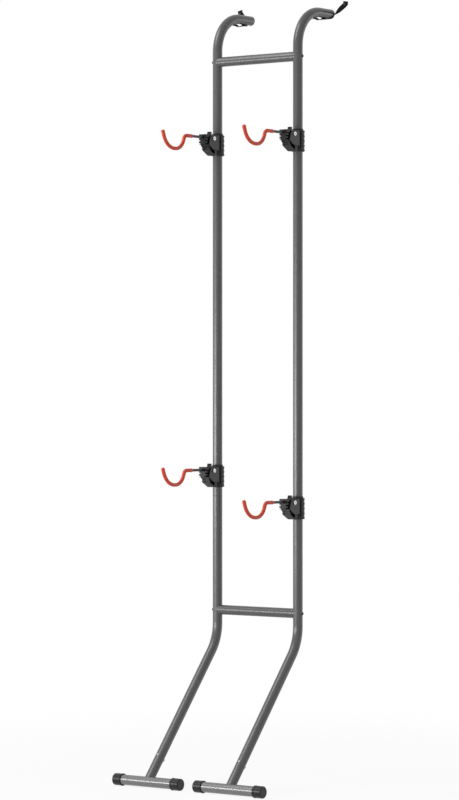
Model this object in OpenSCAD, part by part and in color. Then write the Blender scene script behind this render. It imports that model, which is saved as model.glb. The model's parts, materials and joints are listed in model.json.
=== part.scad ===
// Two-bike gravity rack that stands on two T-feet and leans on a wall.
// Millimetres. +Z is up, +Y points at the wall and +X to the right of someone
// who faces the wall. The origin is on the floor, at the middle of the footprint.

/* [Frame tube] */
// Outer diameter of the round frame tube
tube_d = 28.6; // [26:0.1:32]
// Wall of the frame tube
tube_wall = 1.5; // [1.2:0.1:2]
// Distance between the axes of the two uprights
upright_gap = 295; // [240:5:400]
// Height of the axis of the wall ends above the floor
top_z = 2268; // [2150:1:2400]
// Height of the seam between the upper and lower uprights
seam_z = 1153; // [1120:1:1180]
// Radius of the top bend, at the tube's axis
top_bend_r = 107; // [80:1:120]
// Reach of the tube ends behind the uprights, without their plugs
wall_reach = 164; // [155:1:200]
// Radius of the bend above the leg, at the tube's axis
leg_bend_r = 130; // [80:1:160]
// Length of a leg's axis from its corner to the foot bar
leg_len = 518.5; // [500:0.5:540]
// Angle that the legs slope forward from upright
leg_angle = 39.9763; // [39:0.0001:41]

/* [Coupling sleeve] */
// Length of the sleeve inside each upright's seam
coupling_len = 150; // [80:5:200]
// Wall of the coupling sleeve
coupling_wall = 1.5; // [1:0.1:2.5]

/* [Crossbars] */
// Distance of the upper crossbar's axis below the axis of the wall ends
upper_bar_drop = 138; // [130:1:145]
// Height of the lower crossbar's axis
lower_bar_z = 500; // [485:1:510]
// Length of the threaded insert in each crossbar end
insert_len = 26; // [20:1:40]
// Distance from an upright's axis to the insert
insert_set = 17; // [16.5:0.5:20]
// Diameter of the frame bolts
frame_bolt_d = 6; // [5:0.5:8]
// Width across the flats of the frame bolts
frame_bolt_af = 11; // [10:0.5:13]
// Height of a frame bolt's head
frame_bolt_head = 5; // [3:0.5:6]
// Length of bolt inside a crossbar's insert
bolt_bite = 18; // [10:1:20]

/* [Feet] */
// Outer diameter of the foot bar
foot_d = 30; // [28:0.5:34]
// Wall of the foot bar
foot_wall = 1.5; // [1.2:0.1:2.5]
// Length of a foot over its end caps
foot_len = 242.5; // [200:0.5:260]
// Wall of an end cap
cap_wall = 2.4; // [1.5:0.1:3]
// Length of an end cap
cap_len = 29.5; // [20:0.5:40]
// Height of the lip round an end cap's mouth
lip_h = 0.6; // [0.3:0.1:1.5]
// Width of the lip round an end cap's mouth
lip_w = 3; // [2:0.5:5]
// Rounding of an end cap's closed end
cap_round = 3; // [1:0.5:5]
// Length of the stub inside each leg
stub_len = 130; // [110:5:180]
// Wall of the stub
stub_wall = 1.5; // [1:0.1:2.5]
// Distance of the leg bolt from the foot bar's axis, along the leg
leg_bolt_up = 88; // [50:1:100]

/* [Wall ends] */
// Thickness of an end plug's head
plug_head = 5; // [3.5:0.5:8]
// Rounding of an end plug's head
plug_round = 3; // [1:0.5:3]
// Length of an end plug inside the tube
plug_len = 22; // [10:1:40]

/* [Wall straps] */
// Width of the webbing
strap_w = 15; // [12:1:16]
// Thickness of the webbing
strap_t = 1.6; // [1.2:0.1:2]
// Diameter of the wall screws
wall_screw_d = 5; // [4:0.5:6]
// Length of a wall screw behind the strap
wall_screw_len = 14; // [10:1:40]
// Diameter of the small strap screws
strap_screw_d = 4; // [3:0.5:4]
// Length of a strap clip along the tube
clip_len = 22; // [16:1:24]
// Wall of a strap clip
clip_wall = 2.2; // [1.5:0.1:3]
// Angle round the top bend, from its wall end, where a strap screw sits
strap_screw_at = 15.6; // [12:0.1:20]
// How far a strap sags between its screw and its clip
strap_sag = 5; // [2:0.5:6]
// Angle that a strap clip wraps to each side
clip_wrap = 60; // [50:5:70]

/* [Bracket sleeve and collar] */
// Wall of the split slide sleeve
sleeve_wall = 1.6; // [1.2:0.1:2.2]
// Height of a slide sleeve's end lip
sleeve_lip_h = 1.5; // [1:0.5:2.5]
// Width of a slide sleeve's end lip
sleeve_lip_w = 2.2; // [1.5:0.1:2.8]
// Height of a slide sleeve's neck above its upper lip
sleeve_neck = 4.5; // [0.5:0.5:6]
// Width of the slit in the slide sleeve
slit_w = 2; // [1:0.5:4]
// Wall of the collar behind the tube
collar_wall = 3.4; // [3:0.1:5]
// Height of the collar above the pivot
collar_up = 11; // [10:0.5:14]
// Height of the collar below the pivot
collar_down = 48; // [44:0.5:52]
// Thickness of a collar's cheek
cheek_t = 3; // [2.5:0.1:4]
// Height of the smooth pad on a cheek
pad_h = 1; // [0.5:0.1:1.5]
// Depth of the upright groove between cheek and collar
groove_depth = 1.1; // [0.5:0.1:1.3]
// Height of the ribs behind the collar
rib_h = 1.2; // [0.6:0.1:2]
// Width of the ribs behind the collar
rib_w = 3.4; // [2:0.2:5]
// Number of ribs behind the collar
rib_count = 5; // [3:1:6]

/* [Arm block] */
// Width of the arm block between the cheeks
block_w = 26; // [24:0.5:28]
// Distance from the upright's axis to the pivot
pivot_reach = 40; // [38:0.5:44]
// Diameter of the pivot bolt
pivot_d = 8; // [6:0.5:8]
// Diameter of the pivot bolt's button head
pivot_head_d = 12.5; // [12:0.5:17]
// Height of the pivot bolt's head
pivot_head = 3.4; // [2.5:0.1:6]
// Size of the hexagon key in the pivot bolt's head
pivot_key = 5; // [4:1:6]
// Height of the arm block above the pivot
block_up = 11.3; // [11:0.1:12]
// Reach of the arm block in front of the pivot
block_front = 34; // [30:0.5:40]
// Depth of the side slots between the fins
slot_depth = 4.5; // [2:0.5:5]
// Height of the side slots
slot_h = 3.2; // [2:0.2:4.4]
// Distance between the fins
fin_pitch = 8.8; // [7.5:0.1:9]
// Depth of the pocket in each side of the block's nose
pocket_depth = 7; // [3:0.5:8]
// Width of the thumb tab on the arm block
tab_w = 10; // [6:0.5:14]
// Length of the thumb tab
tab_len = 9; // [5:0.5:12]
// Height of the thumb tab above the block
tab_up = 9.5; // [5:0.5:12]
// Thickness of the rubber grip pad
grip_t = 4; // [3:0.5:5]
// Width of the rubber grip pad
grip_w = 13; // [8:0.5:14]
// Height of the rubber grip pad
grip_h = 28; // [20:1:30]

/* [Hook] */
// Diameter of the hook's steel rod
rod_d = 8; // [6:0.5:9]
// Diameter of the red cover
cover_d = 11; // [10.5:0.5:14]
// Height of the rod above the pivot
rod_up = 2.5; // [0:0.5:4]
// Distance from the upright's axis to the back end of the cover
cover_start = 126.5; // [110:0.5:140]
// Distance from the upright's axis to the back of the U
hook_start = 150; // [145:0.5:170]
// Radius of the small bend at the back of the U
crest_r = 14; // [10:0.5:20]
// Angle that the U's back slopes down
hook_angle = 69.59; // [60:0.01:75]
// Straight length of the U's back
hook_back = 6.5; // [2:0.1:10]
// Radius of the U behind its bottom
back_r = 40; // [30:1:45]
// Length of the U's flat bottom
hook_flat = 5; // [1:0.5:15]
// Radius of the U in front of its bottom
front_r = 54; // [40:1:60]
// Straight length of the U's tip
hook_tip = 14.5; // [5:0.5:25]

/* [Bracket heights] */
// Height of the upper left pivot
upper_left_z = 1900; // [1700:1:2000]
// Height of the upper right pivot
upper_right_z = 1900; // [1700:1:2000]
// Height of the lower left pivot
lower_left_z = 914.5; // [800:0.5:1000]
// Height of the lower right pivot
lower_right_z = 825.5; // [700:0.5:1000]

/* [Fits] */
// Radial clearance between pieces that are pushed together
fit = 0.1; // [0.05:0.05:0.2]
// Radial clearance of the pivot bolt in the arm block
turn_fit = 0.08; // [0.02:0.01:0.1]
// Radial clearance of the slide sleeve on the upright and in the collar
slide_fit = 0.1; // [0.05:0.01:0.15]
// Gap between an arm block and each cheek, and at the grip pad
side_gap = 0.3; // [0.2:0.05:0.5]

/* [Hidden] */
$fn = 64;
tube_r = tube_d / 2;
bore_r = tube_r - tube_wall;
half_gap = upright_gap / 2;
cap_r = foot_d / 2 + fit + cap_wall;
lip_r = cap_r + lip_h;
foot_z = lip_r;
leg_rise = leg_len * cos(leg_angle);
foot_reach = leg_len * sin(leg_angle);
upper_bar_z = top_z - upper_bar_drop;
leg_vertex_z = foot_z + leg_rise;
leg_bend_top = leg_vertex_z + leg_bend_r * tan(leg_angle / 2);
leg_run = leg_len - leg_bend_r * tan(leg_angle / 2);
wall_y = wall_reach + plug_head;
back_y = wall_y + wall_screw_len;
// Shift that puts the origin at the middle of the footprint
origin_y = (foot_reach + lip_r - back_y) / 2;
stub_r = bore_r - fit;
coupling_r = bore_r - fit;
bolt_r = frame_bolt_d / 2;
washer_t = 1;
washer_r = frame_bolt_af * 0.66;

sleeve_in = tube_r + slide_fit;
sleeve_out = sleeve_in + sleeve_wall;
collar_in = sleeve_out + slide_fit;
collar_out = collar_in + collar_wall;
cheek_in = block_w / 2 + side_gap;
cheek_out = cheek_in + cheek_t;
pivot_edge = 0.35 * pivot_head;
pivot_socket = 0.65 * pivot_head;
// Ends of the groove between cheek and collar, in front of the tube's axis
groove_back = 8;
groove_front = 19;
cheek_top = 9;
cheek_low = -33.5;
// Front of a cheek, as [distance in front of the pivot, height]
cheek_front = [[11, cheek_top], [18, 0], [23, -17], [16, -24.5], [8, -30], [0, cheek_low]];
pivot_r = pivot_d / 2;
rod_r = rod_d / 2;
cover_r = cover_d / 2;
rod_wall = 5;
hook_set = pivot_reach + pivot_r + rod_wall;
block_nose_z = -19;
nose_front = 19;
nose_low = -34.5;
nose_foot = 8;
nose_bottom = -49.5;
// Pocket in the side of the nose: its back and front from the pivot, its height and wall
pocket_back = -8;
pocket_front = 13.5;
pocket_top = -25;
pocket_wall = 2.5;
recess_w = 16;
recess_d = 3;
cap_gap = 2;
rod_gap = 3;
grip_mid_z = -30;
block_back = -(sleeve_out + 2.5);
jaw_back = -(sleeve_out + side_gap);

strap_clip_y = top_bend_r + 22;
under_r = top_bend_r - tube_r;
strap_gap = side_gap + fit;
strap_bend_r = under_r - strap_t / 2 - strap_gap;
under_z = top_z - top_bend_r + strap_bend_r;
wrap_r = tube_r + strap_t / 2 + strap_gap;
// Tip of a wall screw, and how much thinner its neck is where it passes the webbing
screw_tip = 3;
neck_relief = 0.3;
anchor_up = 26;
anchor_out = [40, 51];
anchor_y = wall_y - strap_t / 2 - 0.2;

STEEL = [0.30, 0.31, 0.33];
FOOT_STEEL = [0.42, 0.43, 0.45];
BLACK = [0.10, 0.10, 0.11];
RUBBER = [0.16, 0.16, 0.17];
RED = [0.85, 0.17, 0.13];
BRIGHT = [0.78, 0.79, 0.80];

// Places: side is -1 for the left upright and 1 for the right one

module at_upright(side, z = 0) {
    translate([side * half_gap, origin_y, z]) children();
}

module at_foot(side) {
    at_upright(side, foot_z) translate([0, -foot_reach, 0]) children();
}

// Turns +Z to point up a leg, from the foot bar's axis
module along_leg() {
    rotate([-leg_angle, 0, 0]) children();
}

// Turns +Z to point to +X
module along_x() {
    rotate([0, 90, 0]) children();
}

// Turns +Z to point to +Y
module along_y() {
    rotate([-90, 0, 0]) children();
}

// Turns about an axis along X through a bend's centre, towards +Y
module turned(centre, a) {
    translate(centre) rotate([-a, 0, 0]) translate(-centre) children();
}

// Round bar or tube that follows a list of runs, starting up +Z. A run of one
// number is straight; a run of two is a bend of that radius and angle towards +Y,
// or towards -Y where the angle is negative. A bend is a ring cut at both ends by
// the planes that the runs beside it start from, so that the runs meet it exactly.
module bent_tube(runs, r_out, r_in = 0, i = 0) {
    if (i < len(runs)) {
        if (len(runs[i]) == 1) {
            linear_extrude(runs[i][0]) ring(r_out, r_in);
            translate([0, 0, runs[i][0]]) bent_tube(runs, r_out, r_in, i + 1);
        } else {
            bend_r = runs[i][0];
            bend_a = runs[i][1];
            centre = [0, sign(bend_a) * bend_r, 0];
            span = 2 * (bend_r + r_out);
            intersection() {
                translate(centre) rotate([0, 90, 0])
                    rotate_extrude() translate([bend_r, 0]) ring(r_out, r_in);
                translate(centre - [span / 2, span, 0]) cube([span, 2 * span, span]);
                turned(centre, bend_a)
                    translate(centre - [span / 2, span, span]) cube([span, 2 * span, span]);
            }
            turned(centre, bend_a) bent_tube(runs, r_out, r_in, i + 1) children();
        }
    }
}

module ring(r_out, r_in) {
    difference() {
        circle(r_out);
        if (r_in > 0) circle(r_in);
    }
}

// Hexagon of a given width across its flats
module hexagon(across, h) {
    cylinder(h = h, d = across / cos(30), $fn = 6);
}

// Turns +Z to point from the top bend's centre through a strap screw
module at_strap_screw() {
    translate([0, top_bend_r, top_z - top_bend_r]) rotate([strap_screw_at, 0, 0]) children();
}

module upper_upright(side) {
    straight = top_z - top_bend_r - seam_z;
    color(STEEL) at_upright(side) difference() {
        translate([0, 0, seam_z])
            bent_tube([[straight], [top_bend_r, 90], [wall_reach - top_bend_r]], tube_r, bore_r);
        translate([-tube_d, 0, upper_bar_z]) along_x() cylinder(h = 2 * tube_d, r = bolt_r + fit);
        at_strap_screw() translate([0, 0, under_r - tube_wall])
            cylinder(h = 3 * tube_wall, r = strap_screw_d / 2 + fit);
    }
}

module lower_upright(side) {
    color(STEEL) at_upright(side) difference() {
        translate([0, 0, seam_z]) rotate([180, 0, 0])
            bent_tube([[seam_z - leg_bend_top], [leg_bend_r, leg_angle], [leg_run]], tube_r, bore_r);
        translate([-foot_len / 2, -foot_reach, foot_z]) along_x()
            cylinder(h = foot_len, r = foot_d / 2 + fit);
        translate([-tube_d, 0, lower_bar_z]) along_x() cylinder(h = 2 * tube_d, r = bolt_r + fit);
        translate([0, -foot_reach, foot_z]) along_leg() translate([0, -tube_d, leg_bolt_up])
            along_y() cylinder(h = 2 * tube_d, r = bolt_r + fit);
    }
}

module coupling_sleeve(side) {
    color(BRIGHT) at_upright(side, seam_z - coupling_len / 2)
        linear_extrude(coupling_len) ring(coupling_r, coupling_r - coupling_wall);
}

// Foot bar with the stub that the leg slides on
module foot_bar(side) {
    bar_len = foot_len - 2 * cap_wall;
    color(FOOT_STEEL) at_foot(side) difference() {
        union() {
            translate([-bar_len / 2, 0, 0]) along_x() cylinder(h = bar_len, r = foot_d / 2);
            along_leg() cylinder(h = stub_len, r = stub_r);
        }
        translate([-bar_len / 2 - 1, 0, 0]) along_x()
            cylinder(h = bar_len + 2, r = foot_d / 2 - foot_wall);
        along_leg() translate([0, 0, foot_d / 2]) cylinder(h = stub_len, r = stub_r - stub_wall);
        along_leg() translate([0, -tube_d, leg_bolt_up]) along_y()
            cylinder(h = 2 * tube_d, r = bolt_r + fit);
    }
}

// End cap with a rounded closed end and a lip round its mouth; dir is 1 for +X
module foot_cap(side, dir) {
    mouth = foot_len / 2 - cap_len;
    color(BLACK) at_foot(side) rotate([0, dir * 90, 0]) difference() {
        rotate_extrude() intersection() {
            union() {
                square_span(0, cap_r, mouth, foot_len / 2 - cap_round);
                square_span(0, cap_r - cap_round, mouth, foot_len / 2);
                square_span(0, lip_r, mouth, mouth + lip_w);
                translate([cap_r - cap_round, foot_len / 2 - cap_round]) circle(cap_round);
            }
            square_span(0, lip_r, mouth, foot_len / 2);
        }
        translate([0, 0, mouth - 1])
            cylinder(h = cap_len - cap_wall + 1, r = foot_d / 2 + fit);
    }
}

// Rectangle between two pairs of coordinates
module square_span(x0, x1, y0, y1) {
    translate([x0, y0]) square([x1 - x0, y1 - y0]);
}

module top_plug(side) {
    body_r = bore_r - fit;
    color(RUBBER) at_upright(side, top_z) translate([0, wall_reach, 0]) along_y() difference() {
        rotate_extrude() union() {
            square_span(0, tube_r, 0, plug_head - plug_round);
            square_span(0, tube_r - plug_round, 0, plug_head);
            square_span(0, body_r, -plug_len, 0);
            intersection() {
                translate([tube_r - plug_round, plug_head - plug_round]) circle(plug_round);
                square_span(0, tube_r, 0, plug_head);
            }
        }
        translate([0, 0, -plug_len - 1]) cylinder(h = plug_len, r = body_r - 2);
    }
}

// Crossbar with its ends cut as saddles to fit the uprights
module crossbar(z) {
    color(STEEL) translate([0, origin_y, z]) difference() {
        translate([-half_gap, 0, 0]) along_x() linear_extrude(upright_gap) ring(tube_r, bore_r);
        for (side = [-1, 1])
            translate([side * half_gap, 0, 0]) cylinder(h = 2 * tube_d, r = tube_r + fit, center = true);
    }
}

module crossbar_inserts() {
    color(BRIGHT) for (side = [-1, 1], z = [lower_bar_z, upper_bar_z])
        at_upright(side, z) rotate([0, -side * 90, 0]) translate([0, 0, insert_set])
            linear_extrude(insert_len) ring(bore_r - fit, bolt_r + fit);
}

// Hexagon-head bolt with its washer: the head sits on z = 0 and the shank points to -Z
module frame_bolt(shank) {
    translate([0, 0, washer_t]) hexagon(frame_bolt_af, frame_bolt_head);
    cylinder(h = washer_t, r = washer_r);
    translate([0, 0, -shank]) cylinder(h = shank, r = bolt_r);
}

module crossbar_bolts() {
    color(STEEL) for (side = [-1, 1], z = [lower_bar_z, upper_bar_z])
        at_upright(side, z) rotate([0, side * 90, 0]) translate([0, 0, tube_r])
            frame_bolt(tube_r + insert_set + bolt_bite);
}

// Places a child on the front face of a leg, pointing out of it
module at_leg_bolt(side, face) {
    at_foot(side) along_leg() translate([0, -face * tube_r, leg_bolt_up])
        rotate([face * 90, 0, 0]) children();
}

module leg_bolts() {
    color(BRIGHT) for (side = [-1, 1])
        at_leg_bolt(side, 1) frame_bolt(tube_d + 8);
}

module leg_nuts() {
    color(BRIGHT) for (side = [-1, 1])
        at_leg_bolt(side, -1) difference() {
            hexagon(frame_bolt_af, 5);
            translate([0, 0, -1]) cylinder(h = 7, r = bolt_r + fit);
        }
}

// Point of a strap that lies under the top bend, at an angle from the wall end
function under_bend(a) = [
    0, top_bend_r - strap_bend_r * sin(a), top_z - top_bend_r + strap_bend_r * cos(a)
];

// Station of a strap that lies on the tube, turned by an angle from its underside
function on_tube(y, a) = [
    [wrap_r * sin(a), y, top_z - wrap_r * cos(a)], [sin(a), 0, -cos(a)]
];

// Stations of a wall strap from its front end to its wall end: a point and the
// direction that the outer side of the webbing faces there
function strap_route(out) =
    let (
        start = strap_clip_y - clip_len / 2,
        end = strap_clip_y + clip_len / 2,
        down = [0, 0, -1],
        wall = [0, 1, 0],
        leave = under_bend(strap_screw_at - 3),
        span = [0, start, under_z] - leave,
        off = [1.5 * tube_r, anchor_y - 1.8, top_z - 0.45 * tube_r],
        tab = [out, anchor_y, top_z + anchor_up],
        lift = tab - off
    ) [
        [under_bend(strap_screw_at + 4), down],
        [under_bend(strap_screw_at), down],
        [leave, down],
        [leave + 0.3 * span + 0.9 * strap_sag * down, down],
        [leave + 0.6 * span + strap_sag * down, down],
        [leave + 0.85 * span + 0.45 * strap_sag * down, down],
        [[0, start, under_z], down],
        [[0, end + 1, under_z], down],
        on_tube(end + 7, 10),
        on_tube(end + 13, 25),
        on_tube(end + 18, 42),
        on_tube(end + 22, 58),
        [off, [0.5, 0.8, -0.4]],
        [off + 0.3 * lift, [0.1, 0.99, -0.1]],
        [off + 0.6 * lift, wall],
        [tab, wall],
        [tab + 0.2 * lift, wall]
    ];

// Corners of the webbing at one station of its route
function strap_corners(route, i, side) =
    let (
        before = route[max(i - 1, 0)][0],
        after = route[min(i + 1, len(route) - 1)][0],
        along = (after - before) / norm(after - before),
        sideways = cross(along, route[i][1]),
        across = sideways / norm(sideways),
        normal = cross(across, along)
    )
    [for (c = [[-1, -1], [1, -1], [1, 1], [-1, 1]])
        let (p = route[i][0] + across * c[0] * strap_w / 2 + normal * c[1] * strap_t / 2)
        [side * p[0], p[1], p[2]]];

module wall_strap(side, out) {
    route = strap_route(out);
    last = len(route) - 1;
    points = [for (i = [0:last]) each strap_corners(route, i, side)];
    walls = [for (i = [0:last - 1], k = [0:3], half = [0, 1])
        let (a = 4 * i + k, b = 4 * i + (k + 1) % 4)
        half == 0 ? [a, b, b + 4] : [a, b + 4, a + 4]];
    ends = [[0, 3, 2], [0, 2, 1], [4 * last, 4 * last + 1, 4 * last + 2], [4 * last, 4 * last + 2, 4 * last + 3]];
    faces = concat(walls, ends);
    color(BLACK) at_upright(side) difference() {
        polyhedron(points, side > 0 ? faces : [for (f = faces) [f[2], f[1], f[0]]]);
        at_strap_screw() translate([0, 0, under_r - 3 * strap_t])
            cylinder(h = 4 * strap_t, r = strap_screw_d / 2 + fit);
        translate([side * out, anchor_y, top_z + anchor_up])
            along_y() cylinder(h = 6 * strap_t, r = wall_screw_d / 2 + fit, center = true);
    }
}

// Saddle under the tube that the webbing passes through
module strap_clip(side) {
    inner = tube_r + fit;
    slot = strap_t + 1;
    outer = inner + slot + clip_wall;
    color(BLACK) at_upright(side, top_z) translate([0, strap_clip_y + clip_len / 2, 0]) rotate([90, 0, 0])
        linear_extrude(clip_len) difference() {
            union() {
                intersection() {
                    ring(inner + clip_wall, inner);
                    polygon([[0, 0], 3 * inner * [-sin(clip_wrap), -cos(clip_wrap)], [0, -6 * inner],
                        3 * inner * [sin(clip_wrap), -cos(clip_wrap)]]);
                }
                square_span(-strap_w / 2 - clip_wall, strap_w / 2 + clip_wall, -outer, -inner);
            }
            circle(inner);
            square_span(-strap_w / 2 - 0.5, strap_w / 2 + 0.5, -inner - slot, 0);
        }
}

module strap_screws() {
    head = 1.8;
    head_top = under_r - strap_gap - strap_t - 2 * fit;
    color(BLACK) for (side = [-1, 1])
        at_upright(side) at_strap_screw() {
            translate([0, 0, head_top - head]) cylinder(h = head, r1 = 0.8 * strap_screw_d, r2 = strap_screw_d);
            translate([0, 0, head_top - head]) cylinder(h = head + 7, r = strap_screw_d / 2);
        }
}

module wall_screws() {
    color(BRIGHT) for (i = [0, 1])
        at_upright(2 * i - 1, top_z + anchor_up)
            translate([(2 * i - 1) * anchor_out[i], wall_y, 0]) along_y() {
                translate([0, 0, -strap_t - 3.4]) cylinder(h = 3, r = wall_screw_d * 0.95);
                translate([0, 0, -strap_t - 1]) cylinder(h = strap_t + 2, r = wall_screw_d / 2 - neck_relief);
                cylinder(h = wall_screw_len - screw_tip, r = wall_screw_d / 2);
                translate([0, 0, wall_screw_len - screw_tip])
                    cylinder(h = screw_tip, r1 = wall_screw_d / 2, r2 = 0.5);
            }
}

// Split sleeve that the bracket slides and turns on, with a lip at each end
module slide_sleeve() {
    color(RUBBER) difference() {
        union() {
            translate([0, 0, -collar_down - sleeve_lip_h])
                linear_extrude(collar_down + collar_up + 2 * sleeve_lip_h + sleeve_neck)
                    ring(sleeve_out, sleeve_in);
            for (z = [-collar_down - sleeve_lip_h, collar_up])
                translate([0, 0, z]) linear_extrude(sleeve_lip_h) ring(sleeve_out + sleeve_lip_w, sleeve_in);
        }
        translate([-slit_w / 2, 0, -2 * collar_down]) cube([slit_w, 2 * sleeve_out, 4 * collar_down]);
        translate([-tube_d, -2 * tube_d, -3 * collar_down]) cube([2 * tube_d, 2 * tube_d - sleeve_in, 2 * collar_down - sleeve_lip_h]);
    }
}

// Side outline of a cheek, drawn as [distance in front of the tube's axis, height]
module cheek_outline() {
    polygon(concat([[0, cheek_low], [0, collar_up], [groove_back, collar_up]],
        [for (p = cheek_front) [pivot_reach + p[0], p[1]]]));
}

// Smooth pad on a cheek, in front of the groove
module cheek_pad_outline() {
    polygon(concat([[groove_front, cheek_low], [groove_front, cheek_top]],
        [for (p = cheek_front) [pivot_reach + p[0], p[1]]]));
}

// Extrudes a side outline across the bracket, between two distances from its middle
module across(x0, x1) {
    translate([x0, 0, 0]) rotate([90, 0, 90]) mirror([1, 0, 0]) linear_extrude(x1 - x0) children();
}

// Yoke round the tube: a ribbed shell behind it and two cheeks in front
module collar() {
    height = collar_up + collar_down;
    color(BLACK) difference() {
        union() {
            translate([0, 0, -collar_down]) cylinder(h = height, r = collar_out);
            for (i = [0:rib_count - 1])
                translate([0, 0, -collar_down + i * (height - rib_w) / (rib_count - 1)])
                    intersection() {
                        cylinder(h = rib_w, r = collar_out + rib_h);
                        translate([-2 * collar_out, 0, 0]) cube([4 * collar_out, 2 * collar_out, rib_w]);
                    }
            across(-cheek_out, cheek_out) cheek_outline();
            across(-cheek_out - pad_h, cheek_out + pad_h) cheek_pad_outline();
        }
        translate([0, 0, -2 * height]) cylinder(h = 4 * height, r = collar_in);
        translate([-cheek_in, -3 * pivot_reach, -2 * height])
            cube([2 * cheek_in, 3 * pivot_reach, 4 * height]);
        for (s = [-1, 1])
            translate([s * (cheek_out - groove_depth) + (s < 0 ? -2 * cheek_out : 0), -groove_front, -collar_down + 8])
                cube([2 * cheek_out, groove_front - groove_back, height]);
        translate([-2 * cheek_out, -pivot_reach, 0]) along_x() cylinder(h = 4 * cheek_out, r = pivot_r + fit);
    }
}

// Finned block that carries the hook and turns on the pivot bolt
module arm_block() {
    front = pivot_reach + block_front;
    low = pivot_reach + nose_front;
    grip_back = -jaw_back + grip_t;
    foot = pivot_reach - nose_foot;
    slope = (nose_low - nose_bottom) / (low - foot);
    pocket_in = pivot_reach + pocket_back;
    pocket_out = pivot_reach + pocket_front;
    color(BLACK) difference() {
        union() {
            across(-block_w / 2, block_w / 2)
                polygon([[-block_back, block_up], [front, block_up], [front, block_nose_z], [low, block_nose_z],
                    [low, nose_low], [foot, nose_bottom], [-block_back, nose_bottom]]);
            across(-tab_w / 2, tab_w / 2)
                polygon([[pivot_reach - tab_len / 2, block_up - 1], [pivot_reach - tab_len / 2, block_up + tab_up],
                    [pivot_reach + tab_len / 2 - 1, block_up + tab_up], [pivot_reach + tab_len / 2 + 1, block_up - 1]]);
        }
        for (s = [-1, 1])
            across(s < 0 ? -block_w : block_w / 2 - pocket_depth, s < 0 ? pocket_depth - block_w / 2 : block_w)
                polygon([[pocket_in, pocket_top], [pocket_out, pocket_top],
                    [pocket_out, nose_low + pocket_wall - (low - pocket_out) * slope],
                    [pocket_in, nose_low + pocket_wall - (low - pocket_in) * slope]]);
        translate([0, -pivot_reach, 0]) translate([-block_w, 0, 0]) along_x()
            cylinder(h = 2 * block_w, r = pivot_r + turn_fit);
        translate([0, -hook_set, rod_up]) rotate([90, 0, 0]) cylinder(h = 2 * front, r = rod_r + fit);
        for (i = [0:2], s = [-1, 1])
            translate([s * (block_w / 2 - slot_depth) + (s < 0 ? -block_w : 0), -front - 1,
                1.1 - i * fin_pitch - slot_h / 2])
                cube([block_w, 23, slot_h]);
        for (z = [-25, -31.5])
            translate([-recess_w / 2, -low - 1, z - recess_d / 2]) cube([recess_w, recess_d + 1, recess_d]);
        translate([-grip_w / 2 - fit, -grip_back - fit, grip_mid_z - grip_h / 2 - fit])
            cube([grip_w + 2 * fit, 2 * grip_t, grip_h + 2 * fit]);
    }
}

// Rubber jaw in the back of the block, hollowed to the sleeve
module grip_pad() {
    color(RUBBER) difference() {
        translate([-grip_w / 2, jaw_back - grip_t, grip_mid_z - grip_h / 2])
            cube([grip_w, grip_t + 2, grip_h]);
        cylinder(h = 4 * collar_down, r = sleeve_out + side_gap, center = true);
    }
}

// Runs of the hook from a point on the straight rod to the tip
function hook_runs(straight, tip) = [
    [straight], [crest_r, -hook_angle], [hook_back], [back_r, hook_angle],
    [hook_flat], [front_r, hook_angle], [tip]
];

module hook_rod() {
    color(BRIGHT) translate([0, -hook_set, rod_up]) rotate([90, 0, 0])
        bent_tube(hook_runs(hook_start - hook_set, hook_tip - rod_gap), rod_r);
}

// Half ball that closes a round bar
module dome(r) {
    rotate_extrude() intersection() {
        circle(r);
        square(r);
    }
}

// Soft cover over the U, closed at the tip
module hook_cover() {
    straight = hook_start - cover_start;
    color(RED) translate([0, -cover_start, rod_up]) rotate([90, 0, 0]) difference() {
        bent_tube(hook_runs(straight, hook_tip), cover_r) dome(cover_r);
        translate([0, 0, -1]) bent_tube(hook_runs(straight + 1, hook_tip - cap_gap), rod_r + fit);
    }
}

module pivot_bolt() {
    head_x = cheek_out + pad_h;
    color(BRIGHT) translate([0, -pivot_reach, 0]) along_x() difference() {
        union() {
            translate([0, 0, head_x]) cylinder(h = pivot_head - pivot_edge, r = pivot_head_d / 2);
            translate([0, 0, head_x + pivot_head - pivot_edge])
                cylinder(h = pivot_edge, r1 = pivot_head_d / 2, r2 = pivot_head_d / 2 - pivot_edge);
            translate([0, 0, -head_x - 8]) cylinder(h = 2 * head_x + 8, r = pivot_r);
        }
        translate([0, 0, head_x + pivot_head - pivot_socket]) hexagon(pivot_key, 2 * pivot_socket);
    }
}

module pivot_nut() {
    seat_x = cheek_out + pad_h;
    color(BRIGHT) translate([-seat_x, -pivot_reach, 0]) rotate([0, -90, 0]) difference() {
        union() {
            cylinder(h = 1.2, r = pivot_d);
            hexagon(13, 6.5);
        }
        translate([0, 0, -1]) cylinder(h = 10, r = pivot_r + fit);
    }
}

upper_upright(-1);  // upper_upright_left
upper_upright(1);  // upper_upright_right
lower_upright(-1);  // lower_upright_left
lower_upright(1);  // lower_upright_right
coupling_sleeve(-1);  // coupling_sleeve_left
coupling_sleeve(1);  // coupling_sleeve_right
foot_bar(-1);  // foot_bar_left
foot_bar(1);  // foot_bar_right
foot_cap(-1, -1);  // foot_cap_left_outer
foot_cap(-1, 1);  // foot_cap_left_inner
foot_cap(1, -1);  // foot_cap_right_inner
foot_cap(1, 1);  // foot_cap_right_outer
top_plug(-1);  // top_plug_left
top_plug(1);  // top_plug_right
crossbar(upper_bar_z);  // upper_crossbar
crossbar(lower_bar_z);  // lower_crossbar
crossbar_inserts();
crossbar_bolts();
leg_bolts();
leg_nuts();
wall_strap(-1, anchor_out[0]);  // wall_strap_left
wall_strap(1, anchor_out[1]);  // wall_strap_right
strap_clip(-1);  // strap_clip_left
strap_clip(1);  // strap_clip_right
strap_screws();
wall_screws();
at_upright(-1, upper_left_z) slide_sleeve();  // slide_sleeve_upper_left
at_upright(-1, upper_left_z) collar();  // collar_upper_left
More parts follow.
